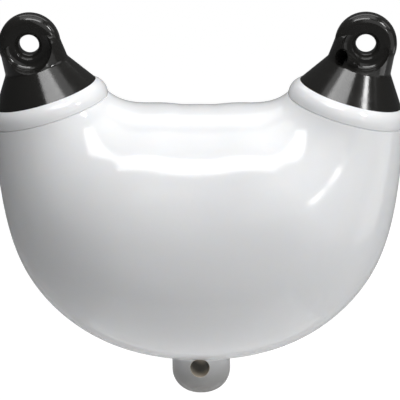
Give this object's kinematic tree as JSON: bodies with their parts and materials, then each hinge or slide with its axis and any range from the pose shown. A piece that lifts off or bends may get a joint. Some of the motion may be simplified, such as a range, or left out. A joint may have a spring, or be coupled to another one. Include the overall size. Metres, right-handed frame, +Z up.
{
  "type": "boarding step fender",
  "caption": "Inflatable crescent fender with a flat foot step between two leaning rope eyes and a third rope eye below.",
  "frame": {"origin": "centre of the lower rope eye, on its bore's axis, midway between front and back", "axes": "+Z up as the fender hangs, +X along its length toward the end with the air valve, +Y from front to back"},
  "size_m": [0.4364, 0.239, 0.415],
  "materials": {
    "white_pvc": "glossy white soft PVC",
    "black_pvc": "glossy black PVC",
    "valve_plastic": "satin black plastic",
    "seal_rubber": "matt black rubber"
  },
  "bodies": {
    "root": {"body_shell": "white_pvc", "left_eye_end": "black_pvc", "right_eye_end": "black_pvc", "valve_insert": "valve_plastic", "valve_seal": "seal_rubber", "valve_plug": "valve_plastic"}
  },
  "joints": []
}
